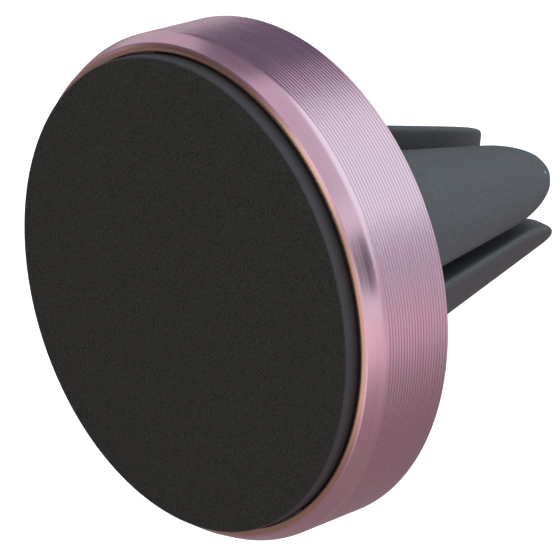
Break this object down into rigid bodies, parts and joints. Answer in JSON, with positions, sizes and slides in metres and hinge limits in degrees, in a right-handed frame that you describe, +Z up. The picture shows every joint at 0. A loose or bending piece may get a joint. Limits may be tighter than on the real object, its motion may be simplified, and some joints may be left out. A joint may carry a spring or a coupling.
{
  "type": "car phone mount",
  "caption": "Small round magnetic phone mount with a turned metal ring, a soft face pad and a four-prong grip that pushes over a car air vent's slat.",
  "frame": {"origin": "centre of the soft pad's front face, which holds the phone", "axes": "+Y runs back along the turned axis towards the vent, +X is to the right of someone who faces the pad, +Z is up"},
  "size_m": [0.04, 0.0381, 0.04],
  "materials": {
    "anodised_ring": "turned, finely grooved, rose-pink anodised",
    "soft_pad": "matt, fine grain",
    "foam_tape": "white foam tape",
    "black_plastic": "fine spark-eroded texture",
    "nickel_magnet": "nickel plated",
    "zinc_steel": "zinc plated",
    "screw_steel": "black nickel plated",
    "silicone": "satin moulded silicone",
    "nylon_core": "moulded, satin"
  },
  "bodies": {
    "head": {"trim_ring": "anodised_ring", "face_pad": "soft_pad", "pad_adhesive": "foam_tape", "magnet_carrier": "black_plastic", "magnet_1": "nickel_magnet", "magnet_2": "nickel_magnet", "magnet_3": "nickel_magnet", "magnet_4": "nickel_magnet", "yoke_plate": "zinc_steel", "rear_cover": "black_plastic", "cover_screw_1": "screw_steel", "cover_screw_2": "screw_steel", "cover_screw_3": "screw_steel", "cover_screw_4": "screw_steel", "grip_hub": "nylon_core", "grip_collar": "silicone", "hub_screw": "screw_steel", "hub_washer": "screw_steel"},
    "prong_upper_right": {"prong_core_upper_right": "nylon_core", "prong_sleeve_upper_right": "silicone"},
    "prong_upper_left": {"prong_core_upper_left": "nylon_core", "prong_sleeve_upper_left": "silicone"},
    "prong_lower_left": {"prong_core_lower_left": "nylon_core", "prong_sleeve_lower_left": "silicone"},
    "prong_lower_right": {"prong_core_lower_right": "nylon_core", "prong_sleeve_lower_right": "silicone"}
  },
  "joints": [
    {"name": "flex_upper_right", "type": "hinge", "parent": "head", "child": "prong_upper_right", "pos_m": [0.00851, 0.0121, 0.00685], "axis": [0.6266, 0, -0.7793], "range_deg": [-1, 5], "stiffness_Nm_per_rad": 0.8},
    {"name": "flex_upper_left", "type": "hinge", "parent": "head", "child": "prong_upper_left", "pos_m": [-0.00851, 0.0121, 0.00685], "axis": [0.6266, 0, 0.7793], "range_deg": [-1, 5], "stiffness_Nm_per_rad": 0.8},
    {"name": "flex_lower_left", "type": "hinge", "parent": "head", "child": "prong_lower_left", "pos_m": [-0.00851, 0.0121, -0.00685], "axis": [-0.6266, 0, 0.7793], "range_deg": [-1, 5], "stiffness_Nm_per_rad": 0.8},
    {"name": "flex_lower_right", "type": "hinge", "parent": "head", "child": "prong_lower_right", "pos_m": [0.00851, 0.0121, -0.00685], "axis": [-0.6266, 0, -0.7793], "range_deg": [-1, 5], "stiffness_Nm_per_rad": 0.8}
  ]
}
